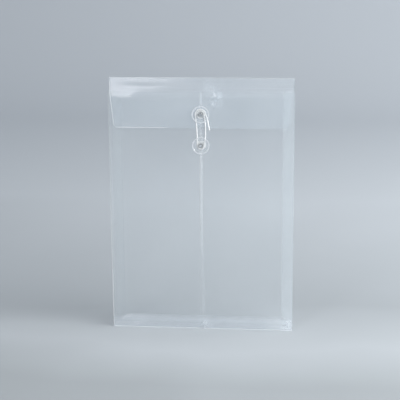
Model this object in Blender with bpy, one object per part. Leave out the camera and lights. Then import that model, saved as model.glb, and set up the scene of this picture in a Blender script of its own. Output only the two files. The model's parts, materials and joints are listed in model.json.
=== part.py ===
"""Clear document bag with a string-and-button closure, standing upright with its flap closed.

x runs across the bag, -y is its front and +z is up. The film is cut into flat leaves at its creases.
Each crease has a frame of its own: x along the leaf, y toward the bag's front and z along the crease,
so a positive turn about z always swings a leaf from the back toward the front. Lengths are metres.
"""
import math

import bmesh
import bpy
import numpy
from mathutils import Matrix, Vector

# Film envelope
BAG_WIDTH = 0.235
BACK_HEIGHT = 0.3155
FILM = 0.0003
GUSSET_HALF = 0.0175
FOLD = math.radians(35.0)
BOTTOM_RISE = 0.0005
MOUTH_DROP = 0.0025
CREASE_GAP = 0.0004
BEND_GAP = 0.00015
MITRE_GAP = 0.00035

# Weld bead down the middle of the front
SEAM_WIDTH = 0.0018
SEAM_PROUD = 0.00015
SEAM_GAP = 0.0002

# Flap
FLAP_LENGTH = 0.0478
FLAP_SLANT = 0.1
FLAP_CORNER = 0.005
FLAP_CORNER_STEPS = 6
JOGGLE_DROP = 0.006
FLAP_CLEARANCE = 0.0005
CREASE_STRIP = 0.006

# String
STRING_DIAMETER = 0.0015
STRING_PLAY = 0.00035
STRING_SPACING = 0.00045
LOOP_POINTS = 24
STRING_START = math.radians(250.0)
# How far each run bows out past the inner winding, and how far down it lies as a share of the button spacing
RIGHT_RUN = ((0.0005, 0.12), (0.0011, 0.22), (0.0016, 0.38), (0.0016, 0.58), (0.0009, 0.80))
LEFT_RUN = ((0.0001, 0.80), (0.0003, 0.58), (0.0006, 0.38), (0.0012, 0.22), (0.0017, 0.10))
# The free end, as distances right of the outer winding and down from the upper button's centre
TAIL = ((0.0010, 0.0030), (0.0021, 0.0060), (0.0030, 0.0105), (0.0039, 0.0155), (0.0047, 0.0200))

# Buttons, rivets and washers
UPPER_BUTTON_DROP = 0.0300
BUTTON_SPACING = 0.0400
BUTTON_RADIUS = 0.0110
BUTTON_DISC = 0.0010
BUTTON_LIP = 0.0003
LIP_WIDTH = 0.0009
RIM_ROUND = 0.0003
BOSS_RADIUS = 0.0034
SEAT_GAP = 0.0003
BARREL_RADIUS = 0.0019
BARREL_WALL = 0.0004
HEAD_RADIUS = 0.0024
TAIL_RADIUS = 0.0029
FLANGE = 0.0006
SPIN_CLEARANCE = 0.0002
HOLE_CLEARANCE = 0.0004
WASHER_RADIUS = 0.0060
WASHER = 0.0005
STACK_GAP = 0.0002
BUTTON_SIDES = 48
RIVET_SIDES = 24

# What follows from these sizes
CREASE_REACH = math.sqrt(GUSSET_HALF ** 2 - FILM ** 2)
LEAF_TURN = FOLD - math.atan2(FILM, CREASE_REACH)
BAG_DEPTH = 2.0 * GUSSET_HALF * math.sin(FOLD)
MOUTH_HEIGHT = BACK_HEIGHT - MOUTH_DROP
BOSS_HEIGHT = STRING_DIAMETER + 2.0 * STRING_PLAY
DISC_BACK = SEAT_GAP + BOSS_HEIGHT
DISC_FRONT = DISC_BACK + BUTTON_DISC
HEAD_BACK = DISC_FRONT + STACK_GAP
HEAD_FRONT = HEAD_BACK + FLANGE
WASHER_FRONT = -FILM - STACK_GAP
WASHER_BACK = WASHER_FRONT - WASHER
TAIL_FRONT = WASHER_BACK - STACK_GAP
TAIL_BACK = TAIL_FRONT - FLANGE
FLAP_STEP = FILM + FLAP_CLEARANCE - TAIL_BACK - FILM
STRING_LIFT = SEAT_GAP + BOSS_HEIGHT / 2.0
HOLE_RADIUS = BARREL_RADIUS + HOLE_CLEARANCE
LOWER_BUTTON_HEIGHT = BACK_HEIGHT - UPPER_BUTTON_DROP - BUTTON_SPACING
BACK_Y = (BAG_DEPTH + FLAP_STEP + FILM + HEAD_FRONT - FILM) / 2.0


def clear_scene():
    for item in list(bpy.data.objects):
        bpy.data.objects.remove(item, do_unlink=True)


def plain_material(name, colour, roughness, metallic=0.0, alpha=1.0):
    material = bpy.data.materials.new(name)
    material.use_nodes = True
    shader = material.node_tree.nodes["Principled BSDF"]
    shader.inputs["Base Color"].default_value = (*colour, 1.0)
    shader.inputs["Roughness"].default_value = roughness
    shader.inputs["Metallic"].default_value = metallic
    shader.inputs["Alpha"].default_value = alpha
    return material


def place(item, parent):
    bpy.context.scene.collection.objects.link(item)
    item.parent = parent
    return item


def frame(name, parent=None, location=(0.0, 0.0, 0.0), axes=None, turn=0.0):
    """An empty whose x, y and z point along the given axes of its parent, or turned about the parent's z."""
    item = place(bpy.data.objects.new(name, None), parent)
    item.empty_display_size = 0.01
    rotation = Matrix(axes).transposed() if axes else Matrix.Rotation(turn, 3, "Z")
    item.matrix_local = Matrix.Translation(location) @ rotation.to_4x4()
    return item


def solid(name, shape, parent, material):
    """Turn a finished bmesh into a named object with its faces outward."""
    bmesh.ops.recalc_face_normals(shape, faces=shape.faces)
    mesh = bpy.data.meshes.new(name)
    shape.to_mesh(mesh)
    shape.free()
    mesh.materials.append(material)
    return place(bpy.data.objects.new(name, mesh), parent)


def sheet(name, rows, thickness, parent, material):
    """A film through rows of (along, depth, low, high); its thickness is added to the depth."""
    shape = bmesh.new()
    rings = []
    for along, depth, low, high in rows:
        far = depth + thickness
        corners = ((depth, low), (depth, high), (far, high), (far, low))
        rings.append([shape.verts.new((along, y, z)) for y, z in corners])
    for ring, following in zip(rings, rings[1:]):
        for corner in range(4):
            after = (corner + 1) % 4
            shape.faces.new((ring[corner], ring[after], following[after], following[corner]))
    shape.faces.new(rings[0])
    shape.faces.new(rings[-1])
    return solid(name, shape, parent, material)


def turned(name, profile, sides, parent, material):
    """A closed profile of (radius, height) swept round the frame's y axis."""
    shape = bmesh.new()
    rings = []
    for side in range(sides):
        angle = 2.0 * math.pi * side / sides
        ring = [shape.verts.new((r * math.cos(angle), h, r * math.sin(angle))) for r, h in profile]
        rings.append(ring)
    count = len(profile)
    for side, ring in enumerate(rings):
        following = rings[(side + 1) % sides]
        for point in range(count):
            after = (point + 1) % count
            shape.faces.new((ring[point], ring[after], following[after], following[point]))
    return solid(name, shape, parent, material)


def rod(name, radius, low, high, sides, parent, material):
    """A round rod along the frame's z axis."""
    shape = bmesh.new()
    ends = []
    for z in (low, high):
        angles = [2.0 * math.pi * side / sides for side in range(sides)]
        ends.append([shape.verts.new((radius * math.cos(a), radius * math.sin(a), z)) for a in angles])
    for side in range(sides):
        after = (side + 1) % sides
        shape.faces.new((ends[0][side], ends[0][after], ends[1][after], ends[1][side]))
    shape.faces.new(ends[0])
    shape.faces.new(ends[1])
    return solid(name, shape, parent, material)


def rivet_hole(name, films, parent, material):
    """Cut the rivet's hole through the given films, round the frame's y axis."""
    reach = 4.0 * FILM
    cutter = rod(name, HOLE_RADIUS, -reach, reach, RIVET_SIDES, parent, material)
    cutter.rotation_euler = (math.radians(90.0), 0.0, 0.0)
    cutter.hide_render = True
    cutter.display_type = "WIRE"
    for film in films:
        cut = film.modifiers.new("rivet hole", "BOOLEAN")
        cut.operation = "DIFFERENCE"
        cut.solver = "EXACT"
        cut.object = cutter


def side_span(along):
    """A side leaf's low and high ends, mitred to meet the bottom gusset."""
    return BOTTOM_RISE + along + MITRE_GAP, MOUTH_HEIGHT


def bottom_span(along):
    """A bottom leaf's two ends, mitred to meet the side gussets."""
    half = BAG_WIDTH / 2.0 - along - MITRE_GAP
    return -half, half


def gusset(name, base, span, flip, material):
    """Two leaves folded inward from a panel's edge; gives the frame on the far panel's edge."""
    near, far = CREASE_GAP, CREASE_REACH - CREASE_GAP

    def row(along, from_edge):
        low, high = span(from_edge)
        return (along, 0.0, -high, -low) if flip else (along, 0.0, low, high)

    rear = frame(name + "_rear_hinge", base, turn=LEAF_TURN)
    sheet(name + "_rear", [row(near, near), row(far, far)], FILM, rear, material)
    middle = frame(name + "_front_hinge", rear, (CREASE_REACH, FILM, 0.0), turn=-2.0 * LEAF_TURN)
    sheet(name + "_front", [row(-near, far), row(-far, near)], FILM, middle, material)
    return frame(name + "_far_edge", middle, (-CREASE_REACH, FILM, 0.0), turn=LEAF_TURN)


def make_front(upright, material):
    """The two front films and the weld bead between them, in the upright frame of the front."""
    inner = SEAM_WIDTH / 2.0 + SEAM_GAP
    outer = BAG_WIDTH / 2.0
    films = []
    for name, low, high in (("front_left_panel", -outer, -inner), ("front_right_panel", inner, outer)):
        rows = [(0.0, 0.0, low, high), (MOUTH_HEIGHT, 0.0, low, high)]
        films.append(sheet(name, rows, FILM, upright, material))
    clear = HOLE_RADIUS + SEAM_GAP
    half = SEAM_WIDTH / 2.0
    spans = (("centre_seam_lower", 0.0, LOWER_BUTTON_HEIGHT - clear),
             ("centre_seam_upper", LOWER_BUTTON_HEIGHT + clear, MOUTH_HEIGHT))
    for name, low, high in spans:
        rows = [(low, 0.0, -half, half), (high, 0.0, -half, half)]
        sheet(name, rows, FILM + SEAM_PROUD, upright, material)
    return films


def flap_half_width(from_ridge):
    return BAG_WIDTH / 2.0 - FLAP_SLANT * from_ridge


def make_flap(hinge, material):
    """The hanging flap: a small step forward at its top, slanted sides and rounded lower corners."""
    rows = []
    levels = [(BEND_GAP, 0.0), (JOGGLE_DROP, FLAP_STEP)]
    for down, depth in levels:
        half = flap_half_width(GUSSET_HALF + down)
        rows.append((-down, depth, -half, half))
    for step in range(FLAP_CORNER_STEPS + 1):
        angle = math.radians(90.0) * step / FLAP_CORNER_STEPS
        down = FLAP_LENGTH - FLAP_CORNER * (1.0 - math.sin(angle))
        half = flap_half_width(GUSSET_HALF + down) - FLAP_CORNER * (1.0 - math.cos(angle))
        rows.append((-down, FLAP_STEP, -half, half))
    return sheet("flap", rows, FILM, hinge, material)


def make_roof(base, material):
    """Both slopes of the top, each a narrow strip and a wider shoulder; gives the flap's hinge frame.

    The back slope leans forward to the ridge and the flap's slope falls to the front. The strips turn on the
    back's edge and on the ridge, where the creases lie under the film. The shoulders open outward on the
    strips, so those creases lie on top of the film.
    """
    half = BAG_WIDTH / 2.0
    wide = GUSSET_HALF - CREASE_STRIP

    def leaf(name, first, last, thickness, hinge, from_ridge=None):
        rows = []
        for along in (first, last):
            reach = half if from_ridge is None else flap_half_width(from_ridge - along)
            rows.append((along, 0.0, -reach, reach))
        sheet(name, rows, thickness, hinge, material)

    crease = frame("back_crease_hinge", base, turn=FOLD)
    leaf("back_crease", BEND_GAP, CREASE_STRIP - BEND_GAP, -FILM, crease)
    lift = frame("back_shoulder_hinge", crease, (CREASE_STRIP, -FILM, 0.0))
    leaf("back_shoulder", BEND_GAP, wide - BEND_GAP, FILM, lift)
    ridge = frame("flap_crease_hinge", lift, (wide, FILM, 0.0), turn=-2.0 * FOLD)
    leaf("flap_crease", -BEND_GAP, BEND_GAP - CREASE_STRIP, FILM, ridge, 0.0)
    opening = frame("flap_shoulder_hinge", ridge, (-CREASE_STRIP, FILM, 0.0))
    leaf("flap_shoulder", -BEND_GAP, BEND_GAP - wide, -FILM, opening, CREASE_STRIP)
    return frame("flap_hinge", opening, (-wide, -FILM, 0.0), turn=FOLD)


def button_profile():
    """Boss, disc and raised lip, from the boss's seat round to the bore."""
    bore = BARREL_RADIUS + SPIN_CLEARANCE
    lip_front = DISC_FRONT + BUTTON_LIP
    lip_inside = BUTTON_RADIUS - LIP_WIDTH
    return [(bore, SEAT_GAP), (BOSS_RADIUS, SEAT_GAP), (BOSS_RADIUS, DISC_BACK),
            (BUTTON_RADIUS - RIM_ROUND, DISC_BACK), (BUTTON_RADIUS, DISC_BACK + RIM_ROUND),
            (BUTTON_RADIUS, lip_front - RIM_ROUND), (BUTTON_RADIUS - RIM_ROUND, lip_front),
            (lip_inside, lip_front), (lip_inside - BUTTON_LIP, DISC_FRONT), (bore, DISC_FRONT)]


def rivet_profile():
    """A hollow eyelet: rolled tail behind the film, barrel and flanged head in front of the button."""
    bore = BARREL_RADIUS - BARREL_WALL
    bevel = FLANGE / 3.0
    return [(bore, TAIL_BACK), (TAIL_RADIUS - bevel, TAIL_BACK), (TAIL_RADIUS, TAIL_BACK + bevel),
            (TAIL_RADIUS - bevel, TAIL_FRONT), (BARREL_RADIUS, TAIL_FRONT), (BARREL_RADIUS, HEAD_BACK),
            (HEAD_RADIUS - bevel, HEAD_BACK), (HEAD_RADIUS, HEAD_BACK + bevel),
            (HEAD_RADIUS - bevel, HEAD_FRONT - bevel / 2.0), (HEAD_RADIUS - 2.0 * bevel, HEAD_FRONT),
            (bore + bevel, HEAD_FRONT), (bore, HEAD_FRONT - bevel)]


def washer_profile():
    bore = BARREL_RADIUS + SPIN_CLEARANCE
    return [(bore, WASHER_BACK), (WASHER_RADIUS, WASHER_BACK), (WASHER_RADIUS, WASHER_FRONT), (bore, WASHER_FRONT)]


def make_closure(name, seat, films, materials):
    """One riveted button on the outer face of its film."""
    turned(name + "_button", button_profile(), BUTTON_SIDES, seat, materials["button"])
    turned(name + "_rivet", rivet_profile(), RIVET_SIDES, seat, materials["metal"])
    turned(name + "_washer", washer_profile(), RIVET_SIDES, seat, materials["washer"])
    rivet_hole(name + "_hole_cutter", films, seat, materials["film"])


def winding(centre, depth, radius, first, last):
    """Points of a turn seen from the front, from one angle to another."""
    count = max(2, round(abs(last - first) / (2.0 * math.pi) * LOOP_POINTS))
    angles = [first + (last - first) * step / count for step in range(count + 1)]
    return [Vector((centre + radius * math.sin(a), depth, radius * math.cos(a))) for a in angles]


def string_route():
    """The string from its trapped end, wound round both bosses, to its free end, in the flap's frame."""
    upper, lower = -UPPER_BUTTON_DROP, -UPPER_BUTTON_DROP - BUTTON_SPACING
    near, far = FILM + STRING_LIFT, FLAP_STEP + FILM + STRING_LIFT
    inner = BOSS_RADIUS + STRING_PLAY + STRING_DIAMETER / 2.0
    outer = inner + STRING_DIAMETER + STRING_SPACING
    leave = (FLAP_LENGTH - UPPER_BUTTON_DROP) / BUTTON_SPACING
    arrive = 1.0 - BUTTON_RADIUS / BUTTON_SPACING

    def run(side, points):
        made = []
        for bow, share in points:
            ease = min(max((share - leave) / (arrive - leave), 0.0), 1.0)
            depth = far + (near - far) * ease * ease * (3.0 - 2.0 * ease)
            made.append(Vector((upper - share * BUTTON_SPACING, depth, side * (inner + bow))))
        return made

    route = winding(upper, far, inner, STRING_START, 0.0)
    route += run(1.0, RIGHT_RUN)
    route += winding(lower, near, inner, 0.0, -math.pi)
    route += run(-1.0, LEFT_RUN)
    route += winding(upper, far, outer, math.pi, 0.0)
    route += [Vector((upper - down, far, outer + out)) for out, down in TAIL]
    return route


def smooth_points(route, step):
    """Evenly spaced points on a smooth curve through the route's points."""
    ends = [2.0 * route[0] - route[1], *route, 2.0 * route[-1] - route[-2]]
    fine = [route[0]]
    for a, b, c, d in zip(ends, ends[1:], ends[2:], ends[3:]):
        for part in range(1, 17):
            t = part / 16.0
            fine.append(0.5 * (2.0 * b + (c - a) * t + (2.0 * a - 5.0 * b + 4.0 * c - d) * t ** 2
                               + (3.0 * b - a - 3.0 * c + d) * t ** 3))
    points = numpy.array([tuple(point) for point in fine])
    travel = numpy.concatenate([[0.0], numpy.cumsum(numpy.linalg.norm(numpy.diff(points, axis=0), axis=1))])
    count = round(travel[-1] / step)
    marks = numpy.linspace(0.0, travel[-1], count + 1)
    return numpy.stack([numpy.interp(marks, travel, points[:, axis]) for axis in range(3)], axis=1), travel[-1]


def least_gap(points, step, diameter):
    """The smallest clear distance between stretches of the string that aren't neighbours along it."""
    apart = math.ceil(4.0 * diameter / step)
    distances = [numpy.linalg.norm(points[i + apart:] - points[i], axis=1).min()
                 for i in range(len(points) - apart)]
    return min(distances) - diameter


def make_string(hinge, material):
    inner = BOSS_RADIUS + STRING_PLAY + STRING_DIAMETER / 2.0
    step = 2.0 * math.pi * inner / LOOP_POINTS
    points, length = smooth_points(string_route(), step)
    curve = bpy.data.curves.new("tie_string", "CURVE")
    curve.dimensions = "3D"
    curve.bevel_depth = STRING_DIAMETER / 2.0
    curve.bevel_resolution = 1
    curve.use_fill_caps = True
    spline = curve.splines.new("POLY")
    spline.points.add(len(points) - 1)
    for knot, point in zip(spline.points, points):
        knot.co = (*point, 1.0)
    curve.materials.append(material)
    place(bpy.data.objects.new("tie_string", curve), hinge)
    gap = least_gap(points, step, STRING_DIAMETER)
    print(f"string: {length * 1000:.1f} mm long, least gap to itself {gap * 1000:.2f} mm")


def main():
    clear_scene()
    materials = {
        "film": plain_material("clear film", (0.80, 0.84, 0.88), 0.15, alpha=0.3),
        "button": plain_material("clear button", (0.82, 0.85, 0.88), 0.1, alpha=0.45),
        "metal": plain_material("eyelet metal", (0.52, 0.53, 0.55), 0.3, metallic=1.0),
        "washer": plain_material("washer", (0.86, 0.87, 0.87), 0.5),
        "string": plain_material("cotton string", (0.90, 0.90, 0.88), 0.9),
    }
    film = materials["film"]
    half = BAG_WIDTH / 2.0
    root = frame("bag")
    back = frame("back", root, (0.0, BACK_Y, 0.0), ((0, 0, 1), (0, -1, 0), (1, 0, 0)))
    rows = [(0.0, 0.0, -half, half), (BACK_HEIGHT - BEND_GAP, 0.0, -half, half)]
    sheet("back_panel", rows, -FILM, back, film)

    right = frame("right_edge", root, (half, BACK_Y, 0.0), ((-1, 0, 0), (0, -1, 0), (0, 0, 1)))
    front_edge = gusset("right_gusset", right, side_span, False, film)
    left = frame("left_edge", root, (-half, BACK_Y, 0.0), ((1, 0, 0), (0, -1, 0), (0, 0, -1)))
    gusset("left_gusset", left, side_span, True, film)
    bottom = frame("bottom_edge", back, (BOTTOM_RISE, 0.0, 0.0))
    gusset("bottom_gusset", bottom, bottom_span, False, film)

    front = frame("front", front_edge, (half, 0.0, 0.0), ((0, 0, 1), (0, 1, 0), (-1, 0, 0)))
    front_films = make_front(front, film)
    lower_seat = frame("lower_seat", front, (LOWER_BUTTON_HEIGHT, FILM, 0.0))
    make_closure("lower", lower_seat, front_films, materials)

    top = frame("top_edge", back, (BACK_HEIGHT, 0.0, 0.0))
    flap_hinge = make_roof(top, film)
    flap = make_flap(flap_hinge, film)
    upper_seat = frame("upper_seat", flap_hinge, (-UPPER_BUTTON_DROP, FLAP_STEP + FILM, 0.0))
    make_closure("upper", upper_seat, [flap], materials)
    make_string(flap_hinge, materials["string"])


main()
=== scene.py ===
"""Looks of the clear document bag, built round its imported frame.

Its film, weld, riveted buttons and string are made here, with the camera, the lamps and the floor.
x runs across the bag, -y is its front and +z is up. Lengths are metres.
"""
import json
import math

import bmesh
import bpy
import numpy
from mathutils import Matrix, Vector, noise


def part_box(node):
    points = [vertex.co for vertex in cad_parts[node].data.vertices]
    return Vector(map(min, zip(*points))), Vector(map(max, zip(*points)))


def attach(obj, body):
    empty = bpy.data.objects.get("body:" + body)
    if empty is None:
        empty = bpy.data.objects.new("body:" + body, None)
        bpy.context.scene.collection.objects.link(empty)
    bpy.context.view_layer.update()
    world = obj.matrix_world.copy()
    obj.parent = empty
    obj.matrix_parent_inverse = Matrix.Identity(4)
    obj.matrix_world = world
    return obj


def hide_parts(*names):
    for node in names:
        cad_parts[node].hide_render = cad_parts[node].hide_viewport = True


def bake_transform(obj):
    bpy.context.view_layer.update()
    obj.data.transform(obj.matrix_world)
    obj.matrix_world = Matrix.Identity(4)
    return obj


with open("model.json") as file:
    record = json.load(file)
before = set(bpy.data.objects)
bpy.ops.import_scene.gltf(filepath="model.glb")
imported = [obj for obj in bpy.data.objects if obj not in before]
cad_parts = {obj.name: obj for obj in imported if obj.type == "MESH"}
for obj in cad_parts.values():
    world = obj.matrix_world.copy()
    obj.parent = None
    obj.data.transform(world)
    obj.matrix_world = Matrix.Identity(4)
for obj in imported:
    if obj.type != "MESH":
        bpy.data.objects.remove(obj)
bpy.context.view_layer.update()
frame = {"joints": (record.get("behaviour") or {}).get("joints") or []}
pivots = {joint["name"]: Vector(joint["pos_m"]) for joint in frame["joints"]}

# Where the camera stood, in the frame of the bag
CAMERA_PLACE = Vector((0.1437, -1.4294, 0.5244))
CAMERA_TARGET = Vector((-0.00285, 0.0033, 0.17163))
CAMERA_ROLL = math.radians(-0.44)
CAMERA_LENS = 103.5
CAMERA_SENSOR = 36.0

# Film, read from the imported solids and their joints
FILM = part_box("back_panel")[1].y - pivots["bag_expand"].y
HALF_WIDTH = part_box("back_panel")[1].x
BACK_Y = pivots["bag_expand"].y
FRONT_Y = pivots["front_edge_fold"].y
BOTTOM_Z = pivots["bottom_edge_fold"].z
BOTTOM_CREASE_Z = pivots["bottom_crease_fold"].z
TOP_Z = pivots["top_edge_fold"].z
MOUTH_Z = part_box("front_left_panel")[1].z
FLAP_END_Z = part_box("flap")[0].z
FLAP_FACE_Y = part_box("flap")[0].y + FILM / 2.0

# How far each side of the flap draws in per metre below the ridge, and the radius of its lower corners
FLAP_SLANT = 0.1
FLAP_CORNER = 0.005
# How far below the turn of its soft shoulder the flap starts to hang straight, and the step to its next row
SHOULDER_DROP = 0.0065
SHOULDER_STEP = 0.001

# Gaps between leaves of film, at their creases and at the gussets' mitred ends
LEAF_GAP = 0.0003
MITRE_GAP = 0.0004

# How finely each film is divided, as (rows, columns) or as rows or columns alone
BACK_GRID = (90, 66)
FRONT_GRID = (150, 110)
LEAF_GRID = (12, 90)
SLOPE_GRID = (16, 80)
STRIP_ROWS = 8
SHOULDER_ROWS = 24
FLAP_ROWS = 34
FLAP_COLUMNS = 110

# The front's swell: its height, how far from the sides and the foot it is full, and the heights it ends at
FRONT_SWELL = 0.0022
SWELL_FROM_SIDE = 0.055
SWELL_FROM_FOOT = 0.075
SWELL_ENDS = (0.185, 0.258)
FRONT_WAVES = 0.00035
FRONT_RIPPLES = 0.00012
# How much of the swell the weld holds back, and how far to its sides
WELD_HOLD = 0.55
WELD_HOLD_REACH = 0.022
# Distances from a button's centre between which the film is let go
FRONT_BUTTON_HOLD = (0.012, 0.045)
FLAP_BUTTON_HOLD = (0.007, 0.018)

# Swells and waves of the other films, and how far from a held edge each is let go
BACK_SAG = 0.0006
BACK_HOLD = 0.04
BACK_TOP_HOLD = 0.03
LEAF_WAVES = 0.0002
LEAF_HOLD = 0.005
REAR_CROWN = 0.0002
FLAP_WAVES = 0.00025
FLAP_SIDE_HOLD = 0.004
FLAP_CREASE_HOLD = 0.006

# Where the front is crumpled: the lower right corner and the foot of the weld, with how far each reaches
CRUMPLES = (((HALF_WIDTH - 0.004, FRONT_Y, 0.009), 0.014), ((0.003, FRONT_Y, 0.009), 0.010))
CRUMPLE_RISE = 0.0024
CRUMPLE_FROM_FOOT = 0.002
# Haze added at the crumples: partly whitened creases, partly a painted highlight for their facets
CRUMPLE_HAZE_AND_HIGHLIGHT = 0.22

# Buckles of the flap: part of a ring round this x and z, right of the upper button, and a puffed corner
DENT_CENTRE = (0.010, 0.305)
DENT_RADIUS = 0.0125
DENT_WIDTH = 0.0036
DENT_RISE = 0.0017
PUFF_RISE = 0.0024
PUFF_RIPPLE = 0.00012
# Angles, in degrees up from +x, over which the ring rises and over which it falls away
RING_RISES = (-100.0, -40.0)
RING_FALLS = (50.0, 110.0)
# Distances from the left side where the puff is full and over which it ends, and heights where it starts
PUFF_FULL = 0.040
PUFF_ENDS = (0.045, 0.120)
PUFF_STARTS = (0.268, 0.300)
# How far below the flap's crease its buckles have their full rise
BUCKLE_FADE = 0.030
# Spots right of the upper button where the flap is made hazier and so paler, with how far each spot reaches
FLAP_PALE_SPOTS = (((0.0115, FRONT_Y, 0.321), 0.013), ((0.0205, FLAP_FACE_Y, 0.311), 0.011),
           ((0.0180, FLAP_FACE_Y, 0.301), 0.011))
FLAP_SPOT_HAZE = 0.20

# Melted edges of the film: the bead's rise and reach, where in that it is fullest, and how gently it falls
EDGE_BEAD = 0.00032
EDGE_REACH = 0.0008
BEAD_MIDDLE = 0.35
BEAD_FALL = 0.42
# Shares of the reach where an edge has extra points
EDGE_STEPS = (0.2, 0.45, 0.75, 1.0)
# The bead is full left of the first x, and lower by this share right of the second
BEAD_FADE = (-0.06, 0.02)
BEAD_LOSS = 0.7
# The flap's edge takes the hazier edge film, a painted highlight, left of this x
EDGE_HIGHLIGHT_TO = -0.045

# Pressed folds of the film
PLAIN_FOLD_RADIUS = 0.00024
WHITE_FOLD_RADIUS = 0.00044
FOLD_STEP = 0.004
FOLD_UNEVENNESS = 0.14

# Clear plastic: what a face mirrors head-on and edge-on, how late that grows, and what passes through it
HEAD_ON_MIRROR = 0.035
EDGE_ON_MIRROR = 0.9
MIRROR_POWER = 5.0
CLEAR_TINT = (0.9965, 0.9993, 1.0, 1.0)
# Pale and deep tint of the haze in plain film, and in the whitened film of the weld and the folds, whose
# haze along the folds is partly a painted highlight
FILM_TINTS = ((0.90, 0.955, 1.0), (0.86, 0.925, 0.985))
WHITE_TINTS = ((0.96, 0.98, 0.99), (0.92, 0.95, 0.97))
# Least and most haze of plain film, and how many times hazier the front's foot is: painted light on the
# bottom strip seen through it
FILM_HAZE = (0.042, 0.060)
FOOT_PAINTED_LIGHT_HAZE = 3.6

# Weld down the middle of the front: its width, rise and least thickness, and how far its foot drifts right
WELD_WIDTH = 0.0034
WELD_RISE = 0.00035
WELD_EDGE = 0.00006
WELD_DRIFT = 0.0012
WELD_GAP = 0.0002
WELD_STEP = 0.002
WELD_HALF_COLUMNS = 4
# The heights between which its foot ends, how much wider the foot is, and how uneven the weld's width
WELD_FOOT = (0.03, 0.15)
WELD_WIDENING = 0.5
WELD_UNEVENNESS = 0.06

# Buttons, rivets and washers, with heights measured from the face of the film
UPPER_SEAT = pivots["upper_button_spin"]
LOWER_SEAT = pivots["lower_button_spin"]
BUTTON_RADIUS = 0.0110
BOSS_RADIUS = 0.0034
DISC_BACK = 0.0025
DISC_FRONT = 0.0035
LIP_FRONT = 0.0038
LIP_WIDTH = 0.0012
SEAT_GAP = 0.0003
SPIN_GAP = 0.0002
RIVET_BORE = 0.0015
RIVET_BARREL = 0.0019
RIVET_HEAD = 0.0024
RIVET_TAIL = 0.0029
RIVET_FRONT = 0.0043
RIVET_BACK = -0.0018
RIVET_FLANGE = 0.0006
BORE_MARGIN = 0.00005
WASHER_RADIUS = 0.0060
WASHER_FRONT = -0.0005
WASHER_BACK = -0.0010
HOLE_RADIUS = 0.0021
HOLE_CUT = 0.004
# Distances in from the button's rim at which the lip's top, the lip, the groove and its inner slope end
LIP_STEPS = (0.0010, 0.0014, 0.0022, 0.0026)
GROOVE_DEPTH = 0.00018
# How far their corners are rounded, at most over this share of a side, and how many sides they have
BUTTON_ROUND = 0.0003
RIVET_ROUND = 0.00032
WASHER_ROUND = 0.00015
CORNER_SHARE = 0.45
BUTTON_SIDES = 96
RING_SIDES = 64
HOLE_SIDES = 32

# String
STRING_DIAMETER = 0.0015
STRING_LIFT = 0.0014
STRING_INNER = 0.0045
STRING_OUTER = 0.00645
STRING_START = math.radians(250.0)
STRING_PITCH = 0.0042
STRING_STEP = 0.0004
STRANDS = 3
STRAND_DEPTH = 0.20
LOOP_POINTS = 24
CURVE_STEPS = 16
# How far each run bows out past the inner winding, and how far down it lies as a share of the button spacing
RIGHT_RUN = ((0.0005, 0.12), (0.0011, 0.22), (0.0016, 0.38), (0.0016, 0.58), (0.0009, 0.80))
LEFT_RUN = ((0.0001, 0.80), (0.0003, 0.58), (0.0006, 0.38), (0.0012, 0.22), (0.0017, 0.10))
# The free end, as distances right of the outer winding and down from the upper button's centre
TAIL = ((0.0010, 0.0030), (0.0021, 0.0060), (0.0030, 0.0105), (0.0039, 0.0155), (0.0047, 0.0200))
# How much thinner the free end is at its cut, and over what length
END_TAPER = 0.25
END_TAPER_REACH = 0.0004
# Sides of the string and of the fold lines
TUBE_SIDES = 18

# Studio: the floor's reach, and where and how it sweeps up into the backdrop
FLOOR_REACH = 14.0
SWEEP_START = 1.6
SWEEP_RADIUS = 1.2
SWEEP_STEPS = 16
BACKDROP_HEIGHT = 4.0
SKY_COLOUR = (0.975, 0.995, 1.035, 1.0)
SKY_STRENGTH = 0.53
# Where the paper's tones start and end, and the tones as (share of the way back, colour). The tones are
# painted light and shade: darker towards the camera, a pale pool just before the bag where it throws light
# down, a painted shadow band behind it and a lit band further back
PAINTED_FLOOR_SPAN = (-0.2, 2.3)
PAINTED_FLOOR_LIGHT = ((0.03, (0.314, 0.343, 0.361)), (0.075, (0.405, 0.440, 0.466)), (0.13, (0.335, 0.366, 0.390)),
               (0.38, (0.484, 0.525, 0.560)), (0.80, (0.494, 0.536, 0.578)))


def ease(low, high, value):
    """0 below low, 1 above high and a smooth step between them."""
    share = min(max((value - low) / (high - low), 0.0), 1.0)
    return share * share * (3.0 - 2.0 * share)


def ripple(x, z, size, seed):
    """Smooth unevenness of about the given size across, from -1 to 1."""
    return noise.noise(Vector((x / size, z / size, seed)))


# Materials

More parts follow.
